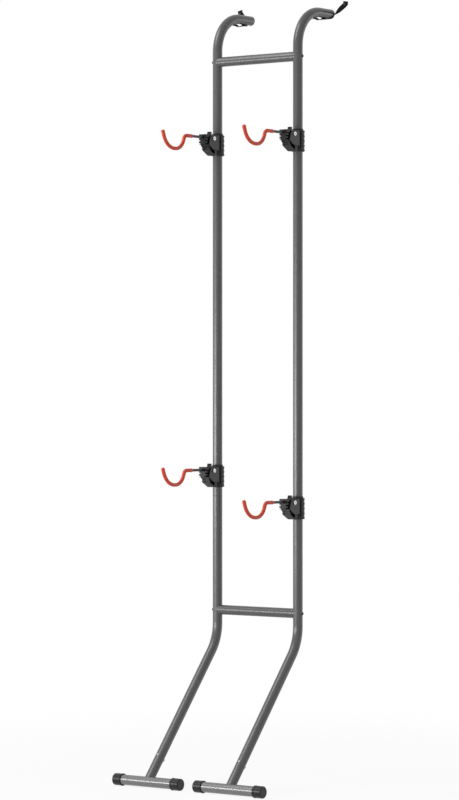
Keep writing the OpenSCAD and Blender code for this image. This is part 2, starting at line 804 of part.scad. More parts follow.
at_upright(-1, upper_left_z) arm_block();  // arm_block_upper_left
at_upright(-1, upper_left_z) grip_pad();  // grip_pad_upper_left
at_upright(-1, upper_left_z) hook_rod();  // hook_rod_upper_left
at_upright(-1, upper_left_z) hook_cover();  // hook_cover_upper_left
at_upright(-1, upper_left_z) pivot_bolt();  // pivot_bolt_upper_left
at_upright(-1, upper_left_z) pivot_nut();  // pivot_nut_upper_left
at_upright(1, upper_right_z) slide_sleeve();  // slide_sleeve_upper_right
at_upright(1, upper_right_z) collar();  // collar_upper_right
at_upright(1, upper_right_z) arm_block();  // arm_block_upper_right
at_upright(1, upper_right_z) grip_pad();  // grip_pad_upper_right
at_upright(1, upper_right_z) hook_rod();  // hook_rod_upper_right
at_upright(1, upper_right_z) hook_cover();  // hook_cover_upper_right
at_upright(1, upper_right_z) pivot_bolt();  // pivot_bolt_upper_right
at_upright(1, upper_right_z) pivot_nut();  // pivot_nut_upper_right
at_upright(-1, lower_left_z) slide_sleeve();  // slide_sleeve_lower_left
at_upright(-1, lower_left_z) collar();  // collar_lower_left
at_upright(-1, lower_left_z) arm_block();  // arm_block_lower_left
at_upright(-1, lower_left_z) grip_pad();  // grip_pad_lower_left
at_upright(-1, lower_left_z) hook_rod();  // hook_rod_lower_left
at_upright(-1, lower_left_z) hook_cover();  // hook_cover_lower_left
at_upright(-1, lower_left_z) pivot_bolt();  // pivot_bolt_lower_left
at_upright(-1, lower_left_z) pivot_nut();  // pivot_nut_lower_left
at_upright(1, lower_right_z) slide_sleeve();  // slide_sleeve_lower_right
at_upright(1, lower_right_z) collar();  // collar_lower_right
at_upright(1, lower_right_z) arm_block();  // arm_block_lower_right
at_upright(1, lower_right_z) grip_pad();  // grip_pad_lower_right
at_upright(1, lower_right_z) hook_rod();  // hook_rod_lower_right
at_upright(1, lower_right_z) hook_cover();  // hook_cover_lower_right
at_upright(1, lower_right_z) pivot_bolt();  // pivot_bolt_lower_right
at_upright(1, lower_right_z) pivot_nut();  // pivot_nut_lower_right
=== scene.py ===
"""Two-bike gravity rack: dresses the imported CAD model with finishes, webbing and small trim."""

import json
import math

import bpy
from bpy.props import FloatProperty, FloatVectorProperty, IntProperty, PointerProperty
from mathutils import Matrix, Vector


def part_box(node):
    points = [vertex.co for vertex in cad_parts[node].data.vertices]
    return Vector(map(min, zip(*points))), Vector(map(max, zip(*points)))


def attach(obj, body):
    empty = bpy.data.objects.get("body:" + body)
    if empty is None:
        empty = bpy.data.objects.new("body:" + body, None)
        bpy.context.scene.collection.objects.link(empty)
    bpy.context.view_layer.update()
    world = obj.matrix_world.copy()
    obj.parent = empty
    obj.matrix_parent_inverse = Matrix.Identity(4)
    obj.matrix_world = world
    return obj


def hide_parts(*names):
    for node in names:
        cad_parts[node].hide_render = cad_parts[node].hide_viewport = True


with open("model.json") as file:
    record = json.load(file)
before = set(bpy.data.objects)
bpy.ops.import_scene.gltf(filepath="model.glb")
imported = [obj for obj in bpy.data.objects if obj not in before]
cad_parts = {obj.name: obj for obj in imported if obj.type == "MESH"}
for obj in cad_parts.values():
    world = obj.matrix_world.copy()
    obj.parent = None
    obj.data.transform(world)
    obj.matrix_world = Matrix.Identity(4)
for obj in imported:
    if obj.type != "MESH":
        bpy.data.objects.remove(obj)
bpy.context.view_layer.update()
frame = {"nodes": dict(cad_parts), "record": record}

bl_info = {
    "name": "Gravity bike rack",
    "version": (1, 0, 0),
    "blender": (4, 5, 0),
    "location": "View3D > Sidebar > Bike rack",
    "description": "Dresses the packed rack: paint, moulded plastic, red covers, webbing and a pale studio",
    "category": "Object",
}


def placed(rows, name):
    """Place of a named mount or joint, as x, y and z in metres."""
    return next(row["pos_m"] for row in rows if row["name"] == name)


MM = 0.001
PLACES = ("upper_left", "upper_right", "lower_left", "lower_right")
LEVELS = ("upper", "lower")
SIDES = {"left": -1, "right": 1}

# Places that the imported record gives: the uprights, the wall, the tubes' wall ends and the feet
MOUNTS = frame["record"]["mounts"]
JOINTS = frame["record"]["behaviour"]["joints"]
HALF_GAP, WALL_Y, TOP_Z = placed(MOUNTS, "wall_rest_right")
UPRIGHT_Y = placed(JOINTS, "swivel_upper_right")[1]
FOOT_Y = placed(MOUNTS, "floor")[1]

# Sizes of the solids, with angles in degrees
TUBE_R = 14.3 * MM
TOP_BEND_R = 107 * MM
LEG_ANGLE = 39.9763
FOOT_AXIS_Z = 18.1 * MM
LEG_SCREW_UP = 88 * MM
ROD_R = 4 * MM
ROD_UP = 2.5 * MM
COVER_R = 5.5 * MM
COVER_TIP_ANGLE = 69.59
STRAP_SCREW_ANGLE = 15.6

# Sizes of what is modelled here; the keeper's y runs from the axis of the upright
KEEPER_Y = TOP_BEND_R + 27 * MM
KEEPER_LENGTH = 11 * MM
ROUND_SIDES = 48
SHARP_ANGLE = math.radians(35)


# Settings

class RackFinishSettings(bpy.types.PropertyGroup):
    """Colours and gloss of the rack's own surfaces."""

    tube_colour: FloatVectorProperty(
        name="Tube paint", description="Powder coat of the uprights and crossbars",
        subtype="COLOR", size=3, min=0, max=1, default=(0.067, 0.067, 0.067))
    tube_gloss: FloatProperty(
        name="Tube roughness", description="Roughness of the powder coat",
        subtype="FACTOR", min=0, max=1, default=0.28)
    foot_colour: FloatVectorProperty(
        name="Foot paint", description="Shinier coat of the two foot bars",
        subtype="COLOR", size=3, min=0, max=1, default=(0.090, 0.090, 0.090))
    plastic_colour: FloatVectorProperty(
        name="Bracket plastic", description="Moulded plastic of the collars and arm blocks",
        subtype="COLOR", size=3, min=0, max=1, default=(0.008, 0.008, 0.008))
    rubber_colour: FloatVectorProperty(
        name="Rubber", description="Foot caps and grip pads",
        subtype="COLOR", size=3, min=0, max=1, default=(0.009, 0.009, 0.009))
    cover_colour: FloatVectorProperty(
        name="Hook cover", description="Soft dipped cover of the hooks",
        subtype="COLOR", size=3, min=0, max=1, default=(0.55, 0.046, 0.014))
    plug_colour: FloatVectorProperty(
        name="End plug", description="Grey plug in the wall end of a tube",
        subtype="COLOR", size=3, min=0, max=1, default=(0.13, 0.13, 0.135))
    webbing_colour: FloatVectorProperty(
        name="Webbing", description="Woven wall straps",
        subtype="COLOR", size=3, min=0, max=1, default=(0.006, 0.006, 0.006))
    wear: FloatProperty(
        name="Edge wear", description="How much the corners of the plastic are polished",
        subtype="FACTOR", min=0, max=1, default=0.35)


class RackTrimSettings(bpy.types.PropertyGroup):
    """Sizes of the soft and small pieces that are modelled here."""

    webbing_width: FloatProperty(
        name="Webbing width", description="Width of a wall strap",
        unit="LENGTH", min=0.010, max=0.020, default=15 * MM)
    webbing_thickness: FloatProperty(
        name="Webbing thickness", description="Thickness of a wall strap",
        unit="LENGTH", min=0.001, max=0.002, default=1.5 * MM)
    webbing_sag: FloatProperty(
        name="Webbing sag", description="How far a strap hangs between its screw and its keeper",
        unit="LENGTH", min=0.001, max=0.006, default=5 * MM)
    weave_pitch: FloatProperty(
        name="Weave pitch", description="Distance between two picks of the webbing",
        unit="LENGTH", min=0.0004, max=0.002, default=0.9 * MM)
    cover_lip: FloatProperty(
        name="Cover lip", description="How far the rolled mouth of a hook cover stands out",
        unit="LENGTH", min=0.0002, max=0.0015, default=0.45 * MM)
    tip_dome: FloatProperty(
        name="Tip dome", description="How far the round tip of a hook cover stands out",
        unit="LENGTH", min=0.0005, max=0.004, default=2.6 * MM)
    strap_steps: IntProperty(
        name="Strap steps", description="Cross-sections of a strap between two of its stations",
        min=2, max=12, default=8)


class RackStageSettings(bpy.types.PropertyGroup):
    """Floor, lights and camera."""

    floor_colour: FloatVectorProperty(
        name="Floor", description="Colour of the pale floor and backdrop",
        subtype="COLOR", size=3, min=0, max=1, default=(0.80, 0.80, 0.80))
    left_light: FloatProperty(
        name="Left light", description="Power of the long light at the left",
        unit="POWER", min=0, max=1000, default=170)
    right_light: FloatProperty(
        name="Right light", description="Power of the tall light at the right",
        unit="POWER", min=0, max=1000, default=35)
    top_light: FloatProperty(
        name="Top light", description="Power of the overhead light",
        unit="POWER", min=0, max=1000, default=120)
    eye_height: FloatProperty(
        name="Camera height", description="Height of the level camera above the floor",
        unit="LENGTH", min=0.1, max=3, default=1.1411)


# Shader maths

class Flow:
    """A shader socket that grows nodes when it is used in an expression."""

    def __init__(self, tree, socket=None):
        self.tree = tree
        self.socket = socket

    def add(self, kind, settings=None, inputs=None, out=0):
        """Adds a node: its settings first, then its inputs; gives the flow of one output."""
        node = self.tree.nodes.new(kind)
        for key, value in (settings or {}).items():
            setattr(node, key, value)
        for key, value in (inputs or {}).items():
            if isinstance(value, Flow):
                self.tree.links.new(value.socket, node.inputs[key])
            else:
                node.inputs[key].default_value = value
        return Flow(self.tree, node.outputs[out])

    def beside(self, out):
        """Flow of another output of the same node."""
        return Flow(self.tree, self.socket.node.outputs[out])

    def math(self, operation, *values):
        return self.add("ShaderNodeMath", {"operation": operation}, dict(enumerate(values)))

    def __add__(self, other):
        return self.math("ADD", self, other)

    def __sub__(self, other):
        return self.math("SUBTRACT", self, other)

    def __rsub__(self, other):
        return self.math("SUBTRACT", other, self)

    def __mul__(self, other):
        return self.math("MULTIPLY", self, other)

    __radd__ = __add__
    __rmul__ = __mul__


def object_place(tree):
    """Place on the object, in metres, which travels with the piece."""
    return Flow(tree).add("ShaderNodeTexCoord", out="Object")


def seen_directly(tree):
    """1 for what the camera sees itself, in a gloss or through glass; else 0."""
    camera = Flow(tree).add("ShaderNodeLightPath", out="Is Camera Ray")
    gloss = camera.math("MAXIMUM", camera, camera.beside("Is Glossy Ray"))
    return gloss.math("MAXIMUM", gloss, camera.beside("Is Transmission Ray"))


def scaled(place, x, y, z):
    """Place stretched along each axis, so that a pattern on it shrinks by as much."""
    return place.add("ShaderNodeVectorMath", {"operation": "MULTIPLY"}, {0: place, 1: (x, y, z)})


def noise(place, size, detail):
    """Cloudy value from 0 to 1 whose lumps are about `size` metres across."""
    return place.add("ShaderNodeTexNoise", {}, {"Vector": place, "Scale": 1 / size, "Detail": detail})


def window(value, low, high):
    """Value that goes from 0 to 1 between two levels, smoothly."""
    return value.add("ShaderNodeMapRange", {"interpolation_type": "SMOOTHSTEP", "clamp": True}, {
        "Value": value, "From Min": low, "From Max": high, "To Min": 0, "To Max": 1})


def blended(mask, a, b):
    """Colour a where the mask is 0 and colour b where it is 1."""
    a, b = ((*colour, 1) if isinstance(colour, tuple) else colour for colour in (a, b))
    # A colour mix has its factor at input 0, its colours at 6 and 7 and its result at output 2
    return mask.add("ShaderNodeMix", {"data_type": "RGBA"}, {0: mask, 6: a, 7: b}, out=2)


def bumped(height, depth, normal=None):
    """Normal over bumps of a depth in metres, on top of another normal where one is given."""
    under = {"Normal": normal} if normal else {}
    return height.add("ShaderNodeBump", {}, {"Height": height, "Distance": depth, **under})


def rounded(tree, radius):
    """Normal that rounds the piece's corners off."""
    return Flow(tree).add("ShaderNodeBevel", {"samples": 4}, {"Radius": radius})


def corner_mask(tree, radius):
    """1 on the corners of a piece and 0 on its faces."""
    soft = rounded(tree, radius)
    hard = soft.add("ShaderNodeNewGeometry", out="Normal")
    like = soft.add("ShaderNodeVectorMath", {"operation": "DOT_PRODUCT"}, {0: soft, 1: hard}, out="Value")
    return window(1 - like, 0.02, 0.2)


def recess_shade_mask(tree, reach):
    """1 deep in sockets and slots, where shade is painted, and 0 in the open."""
    open_sky = Flow(tree).add("ShaderNodeAmbientOcclusion", {"samples": 6}, {"Distance": reach}, out="AO")
    return window(1 - open_sky, 0.25, 0.75)


def tint(colour, factor):
    """Colour made lighter or darker by a factor."""
    return tuple(min(1.0, c * factor) for c in colour)


def finish(name, paint, **fixed):
    """Makes a material; paint(tree) gives the sockets that vary over the surface."""
    made = bpy.data.materials.new(name)
    made.use_nodes = True
    tree = made.node_tree
    shader = tree.nodes["Principled BSDF"]
    for key, value in fixed.items():
        shader.inputs[key.replace("_", " ")].default_value = value
    for key, value in paint(tree).items():
        tree.links.new(value.socket, shader.inputs[key])
    return made


# Finishes

def tube_paint(name, colour, roughness, peel_depth=0.006 * MM, ior=1.5):
    """Powder coat: fine orange peel, faint handling marks and a little dust."""
    def paint(tree):
        place = object_place(tree)
        peel = noise(place, 1.6 * MM, 2)
        speck = noise(place, 0.35 * MM, 1)
        cloud = noise(scaled(place, 1, 1, 0.25), 45 * MM, 4)
        smear = window(noise(scaled(place, 1, 1, 0.4), 16 * MM, 3), 0.56, 0.72)
        tone = blended(window(cloud, 0.3, 0.7), tint(colour, 0.94), tint(colour, 1.05))
        tone = blended(window(speck, 0.66, 0.8) * 0.35, tone, tint(colour, 1.5))
        rough = roughness + cloud * 0.08 + smear * 0.05 - 0.04
        normal = bumped(peel + speck * 0.3, peel_depth)
        return {"Base Color": tone, "Roughness": rough, "Normal": normal}
    return finish(name, paint, Metallic=0.0, IOR=ior)


def moulded_plastic(name, colour, roughness, wear, corner=0.7 * MM, ior=1.36):
    """Spark-eroded moulding: fine grain, polished corners, faint flow marks."""
    def paint(tree):
        place = object_place(tree)
        grain = noise(place, 0.5 * MM, 2)
        flow = noise(scaled(place, 1, 0.5, 1), 12 * MM, 4)
        edge = corner_mask(tree, 1.3 * corner) * window(noise(place, 5 * MM, 3), 0.3, 0.6)
        tone = blended(window(flow, 0.35, 0.7), tint(colour, 0.85), tint(colour, 1.2))
        tone = blended(edge * wear, tone, tint(colour, 2.6))
        rough = roughness + flow * 0.10 - edge * 0.12 - 0.05
        normal = bumped(grain, 0.035 * MM, rounded(tree, corner))
        return {"Base Color": tone, "Roughness": rough, "Normal": normal}
    return finish(name, paint, Metallic=0.0, IOR=ior)


def soft_rubber(name, colour, roughness):
    """Matt rubber with a dry bloom and a fine pebble."""
    def paint(tree):
        place = object_place(tree)
        pebble = noise(place, 0.7 * MM, 2)
        bloom = window(noise(place, 14 * MM, 4), 0.45, 0.75)
        tone = blended(bloom * 0.5, colour, tint(colour, 2.0))
        rough = roughness + bloom * 0.12 + pebble * 0.05 - 0.05
        normal = bumped(pebble, 0.06 * MM, rounded(tree, 0.6 * MM))
        return {"Base Color": tone, "Roughness": rough, "Normal": normal}
    return finish(name, paint, Metallic=0.0, IOR=1.36)


def plated_steel(name, colour, roughness, metallic=1.0):
    """Plated or blackened steel: fine turning marks, a cloudy tone, painted shade in recesses and rounded
    corners.
    """
    def paint(tree):
        place = object_place(tree)
        cloud = noise(place, 3 * MM, 4)
        marks = noise(place, 0.4 * MM, 2)
        tone = blended(window(cloud, 0.35, 0.7), tint(colour, 0.82), colour)
        # Painted shade: deep in sockets and slots the colour goes down to 0.12 of itself
        tone = blended(recess_shade_mask(tree, 2.2 * MM) * 0.85, tone, tint(colour, 0.12))
        rough = roughness + cloud * 0.12 + marks * 0.05 - 0.06
        normal = bumped(marks, 0.015 * MM, rounded(tree, 0.35 * MM))
        return {"Base Color": tone, "Roughness": rough, "Normal": normal}
    return finish(name, paint, Metallic=metallic, IOR=1.5)


def dipped_vinyl(name, colour):
    """Soft dipped cover: satin skin, faint sag ripples and slightly darker low spots."""
    def paint(tree):
        place = object_place(tree)
        skin = noise(place, 0.8 * MM, 2)
        ripple = noise(scaled(place, 1, 0.35, 0.35), 5 * MM, 3)
        grime = window(noise(place, 11 * MM, 4), 0.55, 0.8)
        tone = blended(window(ripple, 0.3, 0.7), tint(colour, 0.93), tint(colour, 1.06))
        tone = blended(grime * 0.12, tone, tint(colour, 0.6))
        rough = 0.36 + ripple * 0.08 + grime * 0.12
        normal = bumped(ripple + skin * 0.2, 0.12 * MM)
        return {"Base Color": tone, "Roughness": rough, "Normal": normal}
    return finish(name, paint, Metallic=0.0, IOR=1.4, Subsurface_Weight=0.05, Subsurface_Scale=2 * MM)


def woven_webbing(name, colour, pitch, width):
    """Plain-woven polyester: ribs across, warp ends along, tight selvages and a dull sheen."""
    def paint(tree):
        band = Flow(tree).add("ShaderNodeTexCoord", out="UV")
        across = band.add("ShaderNodeSeparateXYZ", {}, {0: band}, out="X")
        along = across.beside("Y")
        turn, end_pitch = 2 * math.pi, 1.6 * pitch
        picks = along.math("SINE", along * (turn / pitch))
        ends = across.math("SINE", across * (turn / end_pitch))
        weave = picks * ends
        off_centre = across.math("ABSOLUTE", across - width / 2)
        selvage = window(off_centre, width / 2 - 1.2 * MM, width / 2 - 0.6 * MM)
        fuzz = noise(object_place(tree), 0.25 * MM, 2)
        dust = noise(object_place(tree), 9 * MM, 4)
        tone = blended(window(weave, -0.6, 0.9), tint(colour, 0.55), tint(colour, 1.7))
        tone = blended(window(dust, 0.5, 0.8) * 0.3, tone, tint(colour, 2.2))
        rough = 0.72 + fuzz * 0.12 - selvage * 0.05
        normal = bumped(weave * 0.5 + fuzz * 0.25 + selvage * 0.6, 0.18 * MM)
        return {"Base Color": tone, "Roughness": rough, "Normal": normal}
    return finish(name, paint, Metallic=0.0, IOR=1.2, Sheen_Weight=0.02, Sheen_Roughness=0.4)


def dress(nodes, material):
    """Gives the named CAD nodes one finish."""
    for name in nodes:
        piece = frame["nodes"][name]
        piece.data.materials.clear()
        piece.data.materials.append(material)


# Meshes

def new_piece(name, verts, faces, material, body):
    """Smooth-shaded piece that rides on a body."""
    mesh = bpy.data.meshes.new(name)
    mesh.from_pydata([tuple(v) for v in verts], [], faces)
    mesh.update()
    for poly in mesh.polygons:
        poly.use_smooth = True
    mesh.materials.append(material)
    piece = bpy.data.objects.new(name, mesh)
    bpy.context.scene.collection.objects.link(piece)
    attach(piece, body)
    return piece


def loop_skin(rings):
    """Vertices and faces of a capped skin over rings of equally many points."""
    count = len(rings[0])
    verts = [point for ring in rings for point in ring]
    faces = []
    for i in range(len(rings) - 1):
        for k in range(count):
            n = (k + 1) % count
            faces.append((i * count + k, i * count + n, (i + 1) * count + n, (i + 1) * count + k))
    faces.append(tuple(range(count - 1, -1, -1)))
    faces.append(tuple((len(rings) - 1) * count + k for k in range(count)))
    return verts, faces


def glide(points, steps):
    """Smooth curve through a list of points or numbers, with equally many steps between two."""
    out = []
    for i in range(len(points) - 1):
        p0, p1 = points[max(i - 1, 0)], points[i]
        p2, p3 = points[i + 1], points[min(i + 2, len(points) - 1)]
        for s in range(steps):
            t = s / steps
            out.append(0.5 * ((2 * p1) + (p2 - p0) * t + (2 * p0 - 5 * p1 + 4 * p2 - p3) * t * t
                              + (3 * p1 - p0 - 3 * p2 + p3) * t ** 3))
    out.append(points[-1])
    return out


def arc(start, step, count):
    """Angles in radians, from a start and a step in degrees."""
    return [math.radians(start + step * k) for k in range(count)]


def spokes_of(u, v, count):
    """Unit vectors all round, in the plane of u and v."""
    return [math.cos(a) * u + math.sin(a) * v for a in arc(0, 360 / count, count)]


def turned_piece(name, profile, foot, axis, material, body):
    """Turned piece: profile is [radius, height] pairs along an axis from a foot point."""
    axis = axis.normalized()
    u = axis.orthogonal().normalized()
    v = axis.cross(u)
    spokes = spokes_of(u, v, ROUND_SIDES)
    hair = 1e-6  # radius of a ring on the axis, so that its faces aren't empty
    rings = [[foot + axis * height + max(radius, hair) * spoke for spoke in spokes]
             for radius, height in profile]
    verts, faces = loop_skin(rings)
    piece = new_piece(name, verts, faces, material, body)
    piece.data.set_sharp_from_angle(angle=SHARP_ANGLE)
    return piece


# Screws and washers

def domed_screw(name, foot, out, material, head, rim, dome, seat, tip):
    """Screw with a domed socket head; its heights run outward from a foot point in the tube."""
    shank, chamfer = 2.9 * MM, 0.6 * MM
    socket_rim, socket_depth = 0.1 * MM, 1.3 * MM
    profile = [(0, tip), (shank - chamfer, tip), (shank, tip + chamfer), (shank, seat)]
    if rim:
        profile.append((head, seat))
    profile += [(head * math.cos(a), seat + rim + dome * math.sin(a)) for a in arc(0, 9, 8)]
    crown_r, top = profile[-1]
    socket = crown_r - socket_rim
    profile += [(socket, top), (socket, top - socket_depth), (0, top - socket_depth)]
    return turned_piece(name, profile, foot, out, material, "frame")


def leg_screw(side, material):
    """Low button-head screw in the front of a leg, with its shank through to the nut."""
    lean = math.radians(LEG_ANGLE)
    up = Vector((0, math.sin(lean), math.cos(lean)))
    out = Vector((0, -math.cos(lean), math.sin(lean)))
    foot = Vector((SIDES[side] * HALF_GAP, FOOT_Y, FOOT_AXIS_Z)) + up * LEG_SCREW_UP
    screw = domed_screw("leg_screw_" + side, foot, out, material, head=3.6 * MM, rim=0, dome=2.4 * MM,
                        seat=TUBE_R - 0.6 * MM, tip=-TUBE_R - 5.6 * MM)
    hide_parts("leg_bolts")


def crossbar_screw(level, side, dark, bright):
    """Small domed screw with a bright washer, in the outer side of an upright."""
    low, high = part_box(level + "_crossbar")
    out = Vector((SIDES[side], 0, 0))
    foot = Vector((SIDES[side] * HALF_GAP, UPRIGHT_Y, (low[2] + high[2]) / 2))
    bore, rim, edge = 3.2 * MM, 4.9 * MM, 0.2 * MM
    back = TUBE_R - 0.5 * MM
    front = back + 0.7 * MM
    screw = domed_screw(f"crossbar_screw_{level}_{side}", foot, out, dark, head=4.5 * MM, rim=2.3 * MM,
                        dome=2.4 * MM, seat=front, tip=-TUBE_R - 6 * MM)
    profile = [(bore, back), (rim - edge, back), (rim, back + edge),
               (rim, front - edge), (rim - edge, front), (bore, front)]
    washer = turned_piece(f"crossbar_washer_{level}_{side}", profile, foot, out, bright, "frame")
    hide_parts("crossbar_bolts")
    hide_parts("crossbar_bolts")


# Hook covers

def cover_mouth(place, lip, vinyl):
    """Rolled lip round the rod at the mouth of a hook cover."""
    low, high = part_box("hook_cover_" + place)
    pivot_z = placed(JOINTS, "tilt_" + place)[2]
    foot = Vector(((low[0] + high[0]) / 2, high[1], pivot_z + ROD_UP))
    bore, bead_r = ROD_R + 0.1 * MM, COVER_R - 0.2 * MM
    bead = [(bead_r + lip * math.sin(a), lip - lip * math.cos(a)) for a in arc(0, 30, 7)]
    profile = [(bore, 0), *bead, (bore, 2 * lip)]
    turned_piece("cover_mouth_" + place, profile, foot, Vector((0, -1, 0)), vinyl, "arm_" + place)


def cover_tip(place, dome, vinyl):
    """Round tip over the flat end that the solid of a hook cover has."""
    low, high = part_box("hook_cover_" + place)
    rise = math.radians(COVER_TIP_ANGLE)
    along = Vector((0, -math.cos(rise), math.sin(rise)))
    foot = Vector(((low[0] + high[0]) / 2,
                   low[1] + COVER_R * math.sin(rise),
                   high[2] - COVER_R * math.cos(rise)))
    rim, root = COVER_R - 0.04 * MM, 0.3 * MM
    profile = [(rim, -root)] + [(rim * math.cos(a), dome * math.sin(a)) for a in arc(0, 9, 11)]
    turned_piece("cover_tip_" + place, profile, foot, along, vinyl, "arm_" + place)


# Wall straps

def strap_keeper(side, material):
    """Small moulded staple under the tube that the webbing slips through."""
    inner, outer, corner = 5.4 * MM, 6.9 * MM, 1.2 * MM
    roof, sole = 16.8 * MM, 18.4 * MM
    sunk = 0.15 * MM
    middle = -(roof + sole) / 2

    def under_tube(x):
        """Height just inside the underside of the tube, from its axis."""
        return -math.sqrt((TUBE_R - sunk) ** 2 - x * x)

    slot = [(inner, under_tube(inner)), (inner, -roof)]
    shell = [(outer, under_tube(outer))]
    shell += [(outer - corner + corner * math.cos(a), corner - sole - corner * math.sin(a))
              for a in arc(0, 22.5, 5)]
    # The outline goes up the left outer side, down and up the slot, and down the right outer side
    outline = [(-x, z) for x, z in shell[::-1] + slot] + slot[::-1] + shell
    # Both ends are a little smaller than the middle, which eases their edges
    rings = [[Vector((x * size, KEEPER_Y + share * KEEPER_LENGTH, middle + (z - middle) * size))
              for x, z in outline]
             for share, size in ((-0.5, 0.97), (-0.46, 1), (0.46, 1), (0.5, 0.97))]
    verts, faces = loop_skin(rings)
    foot = Vector((SIDES[side] * HALF_GAP, UPRIGHT_Y, TOP_Z))
    piece = new_piece("strap_keeper_" + side, [foot + v for v in verts], faces, material, "frame")
    piece.data.set_sharp_from_angle(angle=SHARP_ANGLE)
    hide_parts("strap_clip_" + side)


def strap_rows(side, trim):
    """Rows of a strap from its screw to the wall: centre, across, normal and share of its width."""
    # Until the rows are made, x runs outward and y to the wall, both from the axis of the upright
    ride, off_wall = 1.2 * MM, 1 * MM  # how far the webbing's middle runs from the tube and the wall
    under_r = TOP_BEND_R - TUBE_R - ride
    under_z = TOP_Z - TUBE_R - ride
    wrap_r = TUBE_R + ride
    wall_y = WALL_Y - UPRIGHT_Y - off_wall
    down, wall = Vector((0, 0, -1)), Vector((0, 1, 0))

    def under_bend(a):
        """Point under the top bend, by its angle back from the bend's wall end."""
        a = math.radians(a)
        return Vector((0, TOP_BEND_R - under_r * math.sin(a), TOP_Z - TOP_BEND_R + under_r * math.cos(a)))

    def on_tube(y, a):
        """Point and direction on the tube's wall end, by the angle outward from its underside."""
        a = math.radians(a)
        return (Vector((wrap_r * math.sin(a), y, TOP_Z - wrap_r * math.cos(a))),
                Vector((math.sin(a), 0, -math.cos(a))))

    start, end = KEEPER_Y - KEEPER_LENGTH / 2, KEEPER_Y + KEEPER_LENGTH / 2
    leave = under_bend(STRAP_SCREW_ANGLE - 3)
    span = Vector((0, start, under_z)) - leave
    sag = trim.webbing_sag * down
    off = on_tube(wall_y - 2.2 * MM, 84)[0]
    screw_x, _, screw_z = placed(MOUNTS, "wall_screw_" + side)
    tab = Vector((abs(screw_x) - HALF_GAP, wall_y, screw_z))
    lift = tab - off
    tail = tab + Vector((2.5 * MM, 0, 9 * MM))
    # Centre, outward direction and share of the width, which the webbing loses where it turns
    stations = [
        (under_bend(STRAP_SCREW_ANGLE + 4), down, 1),
        (under_bend(STRAP_SCREW_ANGLE), down, 1),
        (leave, down, 0.95),
        (leave + 0.3 * span + 0.9 * sag, down, 0.8),
        (leave + 0.6 * span + sag, down, 0.7),
        (leave + 0.85 * span + 0.45 * sag, down, 0.66),
        (Vector((0, start, under_z)), down, 0.64),
        (Vector((0, end + 1 * MM, under_z)), down, 0.62),
        (*on_tube(end + 7 * MM, 10), 0.58),
        (*on_tube(end + 13 * MM, 25), 0.52),
        (*on_tube(end + 18 * MM, 42), 0.46),
        (*on_tube(end + 21 * MM, 60), 0.42),
        (off, Vector((0.6, 0.7, -0.3)), 0.42),
        (off + 0.3 * lift, Vector((0.1, 0.99, -0.1)), 0.85),
        (off + 0.6 * lift, wall, 1.05),
        (tab, wall, 1.12),
        (tail, wall, 1.2),
    ]
    points, outward, shares = zip(*stations)
    centres = glide(points, trim.strap_steps)
    outward = glide([face.normalized() for face in outward], trim.strap_steps)
    shares = glide(shares, trim.strap_steps)
    foot = Vector((SIDES[side] * HALF_GAP, UPRIGHT_Y, 0))
    rows = []
    for i, (centre, face, share) in enumerate(zip(centres, outward, shares)):
        ahead = (centres[min(i + 1, len(centres) - 1)] - centres[max(i - 1, 0)]).normalized()
        across = ahead.cross(face).normalized()
        normal = across.cross(ahead)
        centre, across, normal = (Vector((SIDES[side] * v.x, v.y, v.z)) for v in (centre, across, normal))
        rows.append((foot + centre, across, normal, share))
    return rows


def webbing_band(rows, width, thick):
    """Skin of a flat band with softly rounded selvages; stretch gives each row's length."""
    flat = thick / 2
    rings, stretch = [], [0.0]
    for i, (centre, across, normal, share) in enumerate(rows):
        half = share * width / 2
        profile = [(edge * (half - flat + flat * math.cos(a)), edge * flat * math.sin(a))
                   for edge in (1, -1) for a in arc(-90, 45, 5)]
        rings.append([centre + across * x + normal * y for x, y in profile])
        if i:
            stretch.append(stretch[-1] + (centre - rows[i - 1][0]).length)
    verts, faces = loop_skin(rings)
    return verts, faces, stretch


def lay_uv(piece, stretch, width):
    """UV in metres over a band's ten-point rings: across the band, then along it."""
    fold = [0.4 * MM, 0.2 * MM, 0, 0.2 * MM, 0.4 * MM]
    across = [width - x for x in fold] + fold
    layer = piece.data.uv_layers.new(name="webbing")
    for loop in piece.data.loops:
        row, k = divmod(loop.vertex_index, len(across))
        layer.data[loop.index].uv = (across[k], stretch[row])


def stitch_row(marks, points, normal, along):
    """Adds small raised stitches to a list of vertices and a list of faces."""
    verts, faces = marks
    thread, reach = 0.25 * MM, 1.1 * MM
    swells = ((-1.0, 0.25), (-0.6, 0.85), (0.0, 1.0), (0.6, 0.85), (1.0, 0.25))
    side = along.cross(normal).normalized()
    spokes = spokes_of(side, normal, 6)
    for point in points:
        base = len(verts)
        rings = [[point + along * (reach * step) + thread * swell * spoke for spoke in spokes]
                 for step, swell in swells]
        stitch_verts, stitch_faces = loop_skin(rings)
        verts += stitch_verts
        faces += [tuple(base + corner for corner in face) for face in stitch_faces]


def strap_tacks(rows, width, thick):
    """Box of stitches on both faces of a strap, beside each of its screws."""
    stitch_pitch, side_share = 2.6 * MM, 0.36
    marks = ([], [])
    for span in (rows[20:27], rows[-23:-16]):
        for face in (1, -1):
            for share in (-side_share, side_share):
                rail = [centre + across * (share * wide * width) + normal * (face * thick / 2)
                        for centre, across, normal, wide in span]
                for a, b in zip(rail, rail[1:]):
                    step = b - a
                    count = max(1, round(step.length / stitch_pitch))
                    points = [a + step * ((k + 0.5) / count) for k in range(count)]
                    stitch_row(marks, points, span[0][2] * face, step.normalized())
            for centre, across, normal, wide in (span[0], span[-1]):
                points = [centre + across * (share * wide * width) + normal * (face * thick / 2)
                          for share in (-0.24, -0.08, 0.08, 0.24)]
                stitch_row(marks, points, normal * face, across)
    return marks


# Stage

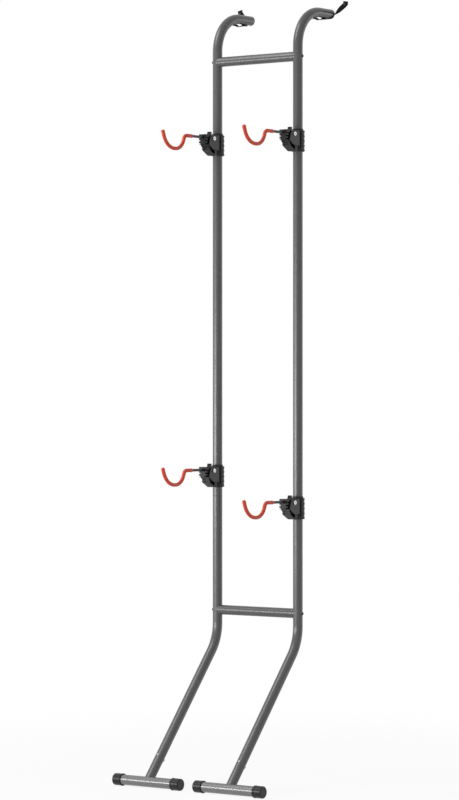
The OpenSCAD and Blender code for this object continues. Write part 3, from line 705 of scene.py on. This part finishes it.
def shown_white(usual, white_kind, share):
    """The usual shader, with plain white of strength 1 in its place by the given share."""
    white = usual.add(white_kind, {}, {"Color": (1, 1, 1, 1), "Strength": 1.0})
    return usual.add("ShaderNodeMixShader", {}, {0: share, 1: usual, 2: white})


def lay_floor(colour):
    """Pale floor that keeps the rack's shadow and turns white away from it."""
    made = bpy.data.materials.new("studio_floor")
    made.use_nodes = True
    tree = made.node_tree
    tree.nodes.clear()
    place = object_place(tree)
    tone = blended(window(noise(place, 0.4, 3), 0.3, 0.7), tuple(colour), tint(colour, 1.02))
    matt = place.add("ShaderNodeBsdfDiffuse", {}, {"Color": tone})
    away = place.add("ShaderNodeVectorMath", {"operation": "LENGTH"}, {0: place}, out="Value")
    # Near the rack a part of the shaded floor stays, which shows the shadow
    share = seen_directly(tree) * (window(away, 0.5, 2.5) * 0.12 + 0.88)
    mixed = shown_white(matt, "ShaderNodeEmission", share)
    out = tree.nodes.new("ShaderNodeOutputMaterial")
    tree.links.new(mixed.socket, out.inputs["Surface"])

    half = 30
    corners = [(-half, -half, 0), (half, -half, 0), (half, half, 0), (-half, half, 0)]
    mesh = bpy.data.meshes.new("studio_floor")
    mesh.from_pydata(corners, [], [(0, 1, 2, 3)])
    mesh.materials.append(made)
    floor = bpy.data.objects.new("studio_floor", mesh)
    bpy.context.scene.collection.objects.link(floor)


def light_air():
    """Even light from all round, with a white background behind the rack."""
    world = bpy.data.worlds.new("studio_air")
    world.use_nodes = True
    tree = world.node_tree
    tree.nodes.clear()
    air = Flow(tree).add("ShaderNodeBackground", {}, {"Color": (1, 1, 1, 1), "Strength": 0.45})
    mixed = shown_white(air, "ShaderNodeBackground", seen_directly(tree))
    out = tree.nodes.new("ShaderNodeOutputWorld")
    tree.links.new(mixed.socket, out.inputs["Surface"])
    bpy.context.scene.world = world


def hang_lamp(name, place, aim, width, height, power):
    """Rectangular lamp that looks from its place to its aim."""
    data = bpy.data.lights.new(name, "AREA")
    data.shape = "RECTANGLE"
    data.size, data.size_y = width, height
    data.energy = power
    lamp = bpy.data.objects.new(name, data)
    lamp.location = place
    lamp.rotation_euler = (Vector(aim) - Vector(place)).to_track_quat("-Z", "Y").to_euler()
    bpy.context.scene.collection.objects.link(lamp)


# Operators

class RACK_OT_camera(bpy.types.Operator):
    """Sets the level camera at the photograph's viewing angle"""

    bl_idname = "rack.camera"
    bl_label = "Camera"

    def execute(self, context):
        data = bpy.data.cameras.new("rack_camera")
        data.sensor_fit = "VERTICAL"
        data.sensor_height = 36
        data.lens = 145.43
        data.shift_y = -0.00715
        data.clip_end = 100
        eye = bpy.data.objects.new("rack_camera", data)
        eye.location = (5.6818, -7.6653 + UPRIGHT_Y, context.scene.rack_stage.eye_height)
        eye.rotation_euler = Vector((-0.60238, 0.79821, 0)).to_track_quat("-Z", "Y").to_euler()
        context.scene.collection.objects.link(eye)
        context.scene.camera = eye
        return {"FINISHED"}


class RACK_OT_stage(bpy.types.Operator):
    """Lays the pale floor and sets the soft studio light"""

    bl_idname = "rack.stage"
    bl_label = "Studio"

    def execute(self, context):
        settings = context.scene.rack_stage
        context.scene.view_settings.view_transform = "Standard"
        lay_floor(settings.floor_colour)
        light_air()
        hang_lamp("left_panel", (-1.9, -4.5, 0.95), (0, 0, 0.95), 5.0, 0.55, settings.left_light)
        hang_lamp("right_panel", (3.2, 4.2, 1.3), (0, 0, 1.1), 1.6, 3.4, settings.right_light)
        hang_lamp("top_panel", (-1.6, -2.4, 4.8), (0, 0, 1.0), 2.6, 2.6, settings.top_light)
        return {"FINISHED"}


class RACK_OT_frame(bpy.types.Operator):
    """Paints the uprights, crossbars and coupling sleeves"""

    bl_idname = "rack.frame"
    bl_label = "Frame tubes"

    def execute(self, context):
        look = context.scene.rack_finish
        coat = tube_paint("tube_coat", tuple(look.tube_colour), look.tube_gloss)
        dress([f"{level}_upright_{side}" for level in LEVELS for side in SIDES], coat)
        dress([f"{level}_crossbar" for level in LEVELS], coat)
        zinc = plated_steel("bare_zinc", (0.62, 0.63, 0.65), 0.34)
        dress([f"coupling_sleeve_{side}" for side in SIDES] + ["crossbar_inserts"], zinc)
        return {"FINISHED"}


class RACK_OT_feet(bpy.types.Operator):
    """Finishes the foot bars and their caps"""

    bl_idname = "rack.feet"
    bl_label = "Feet"

    def execute(self, context):
        look = context.scene.rack_finish
        coat = tube_paint("foot_coat", tuple(look.foot_colour), 0.27, 0.0015 * MM, ior=1.9)
        dress([f"foot_bar_{side}" for side in SIDES], coat)
        rubber = soft_rubber("cap_rubber", tuple(look.rubber_colour), 0.32)
        dress([f"foot_cap_{side}_{end}" for side in SIDES for end in ("inner", "outer")], rubber)
        return {"FINISHED"}


class RACK_OT_plugs(bpy.types.Operator):
    """Finishes the plugs in the wall ends of the uprights"""

    bl_idname = "rack.plugs"
    bl_label = "End plugs"

    def execute(self, context):
        look = context.scene.rack_finish
        plastic = moulded_plastic("plug_moulding", tuple(look.plug_colour), 0.5, wear=0.2)
        dress([f"top_plug_{side}" for side in SIDES], plastic)
        return {"FINISHED"}


class RACK_OT_fasteners(bpy.types.Operator):
    """Plates the bolts and nuts, and makes the leg and crossbar screws"""

    bl_idname = "rack.fasteners"
    bl_label = "Fasteners"

    def execute(self, context):
        zinc = plated_steel("bolt_zinc", (0.52, 0.52, 0.53), 0.3)
        dress(["leg_nuts"], zinc)
        for side in SIDES:
            leg_screw(side, zinc)
        dress([f"pivot_{kind}_{place}" for kind in ("bolt", "nut") for place in PLACES], zinc)
        dark = plated_steel("blackened_steel", (0.03, 0.03, 0.032), 0.4, metallic=0.9)
        dress(["strap_screws", "wall_screws"], dark)
        for level in LEVELS:
            for side in SIDES:
                crossbar_screw(level, side, dark, zinc)
        return {"FINISHED"}


class RACK_OT_brackets(bpy.types.Operator):
    """Finishes the collars, arm blocks, sleeves and grip pads"""

    bl_idname = "rack.brackets"
    bl_label = "Hook brackets"

    def execute(self, context):
        look = context.scene.rack_finish
        plastic = moulded_plastic("bracket_plastic", tuple(look.plastic_colour), 0.42, look.wear)
        dress([f"collar_{place}" for place in PLACES], plastic)
        # Arm blocks: the bracket plastic at 0.6 of its colour and with less gloss; the darker colour is
        # painted shade over the whole block
        shaded_block_plastic = moulded_plastic("block_plastic_painted_shade", tint(look.plastic_colour, 0.6), 0.38, look.wear, ior=1.28)
        dress([f"arm_block_{place}" for place in PLACES], shaded_block_plastic)
        sleeve = moulded_plastic("sleeve_plastic", tint(look.plastic_colour, 1.4), 0.5,
                                 wear=0.2, corner=0.3 * MM)
        dress([f"slide_sleeve_{place}" for place in PLACES], sleeve)
        rubber = soft_rubber("pad_rubber", tuple(look.rubber_colour), 0.7)
        dress([f"grip_pad_{place}" for place in PLACES], rubber)
        return {"FINISHED"}


class RACK_OT_hooks(bpy.types.Operator):
    """Finishes the hook rods and their red covers, and rounds the covers' ends"""

    bl_idname = "rack.hooks"
    bl_label = "Hooks"

    def execute(self, context):
        look, trim = context.scene.rack_finish, context.scene.rack_trim
        steel = plated_steel("rod_steel", (0.045, 0.045, 0.045), 0.42, metallic=0.6)
        dress([f"hook_rod_{place}" for place in PLACES], steel)
        vinyl = dipped_vinyl("red_dip", tuple(look.cover_colour))
        dress([f"hook_cover_{place}" for place in PLACES], vinyl)
        for place in PLACES:
            cover_mouth(place, trim.cover_lip, vinyl)
            cover_tip(place, trim.tip_dome, vinyl)
        return {"FINISHED"}


class RACK_OT_straps(bpy.types.Operator):
    """Weaves the two wall straps from their screws to the wall, through their keepers"""

    bl_idname = "rack.straps"
    bl_label = "Wall straps"

    def execute(self, context):
        look, trim = context.scene.rack_finish, context.scene.rack_trim
        width, thick = trim.webbing_width, trim.webbing_thickness
        cloth = woven_webbing("woven_strap", tuple(look.webbing_colour), trim.weave_pitch, width)
        thread = soft_rubber("stitch_thread", tint(look.webbing_colour, 2.2), 0.6)
        clip = moulded_plastic("clip_moulding", tint(look.plastic_colour, 1.2), 0.45,
                               look.wear, corner=0.4 * MM)
        for side in SIDES:
            strap_keeper(side, clip)
        for side in SIDES:
            rows = strap_rows(side, trim)
            verts, faces, stretch = webbing_band(rows, width, thick)
            piece = new_piece("webbing_" + side, verts, faces, cloth, "frame")
            lay_uv(piece, stretch, width)
            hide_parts("wall_strap_" + side)
            tacks = strap_tacks(rows, width, thick)
            new_piece("strap_stitches_" + side, *tacks, thread, "frame")
        return {"FINISHED"}


class VIEW3D_PT_rack(bpy.types.Panel):
    """Lists the steps that dress the rack and the values that they use"""

    bl_label = "Gravity bike rack"
    bl_idname = "VIEW3D_PT_rack"
    bl_space_type = "VIEW_3D"
    bl_region_type = "UI"
    bl_category = "Bike rack"

    def draw(self, context):
        layout = self.layout
        for group in (context.scene.rack_finish, context.scene.rack_trim, context.scene.rack_stage):
            box = layout.box()
            for key in group.__annotations__:
                box.prop(group, key)
        for step in STEPS:
            layout.operator(step.bl_idname, text=step.bl_label)


# Add-on

GROUPS = (
    ("rack_finish", RackFinishSettings),
    ("rack_trim", RackTrimSettings),
    ("rack_stage", RackStageSettings),
)
STEPS = (
    RACK_OT_camera, RACK_OT_stage, RACK_OT_frame, RACK_OT_feet, RACK_OT_plugs,
    RACK_OT_fasteners, RACK_OT_brackets, RACK_OT_hooks, RACK_OT_straps,
)


def register():
    for name, group in GROUPS:
        bpy.utils.register_class(group)
        setattr(bpy.types.Scene, name, PointerProperty(type=group))
    for step in STEPS:
        bpy.utils.register_class(step)
    bpy.utils.register_class(VIEW3D_PT_rack)


def unregister():
    bpy.utils.unregister_class(VIEW3D_PT_rack)
    for step in reversed(STEPS):
        bpy.utils.unregister_class(step)
    for name, group in reversed(GROUPS):
        delattr(bpy.types.Scene, name)
        bpy.utils.unregister_class(group)


def main():
    register()
    bpy.ops.rack.camera()
    bpy.ops.rack.stage()
    bpy.ops.rack.frame()
    bpy.ops.rack.feet()
    bpy.ops.rack.plugs()
    bpy.ops.rack.fasteners()
    bpy.ops.rack.brackets()
    bpy.ops.rack.hooks()
    bpy.ops.rack.straps()


if __name__ == "__main__":
    main()
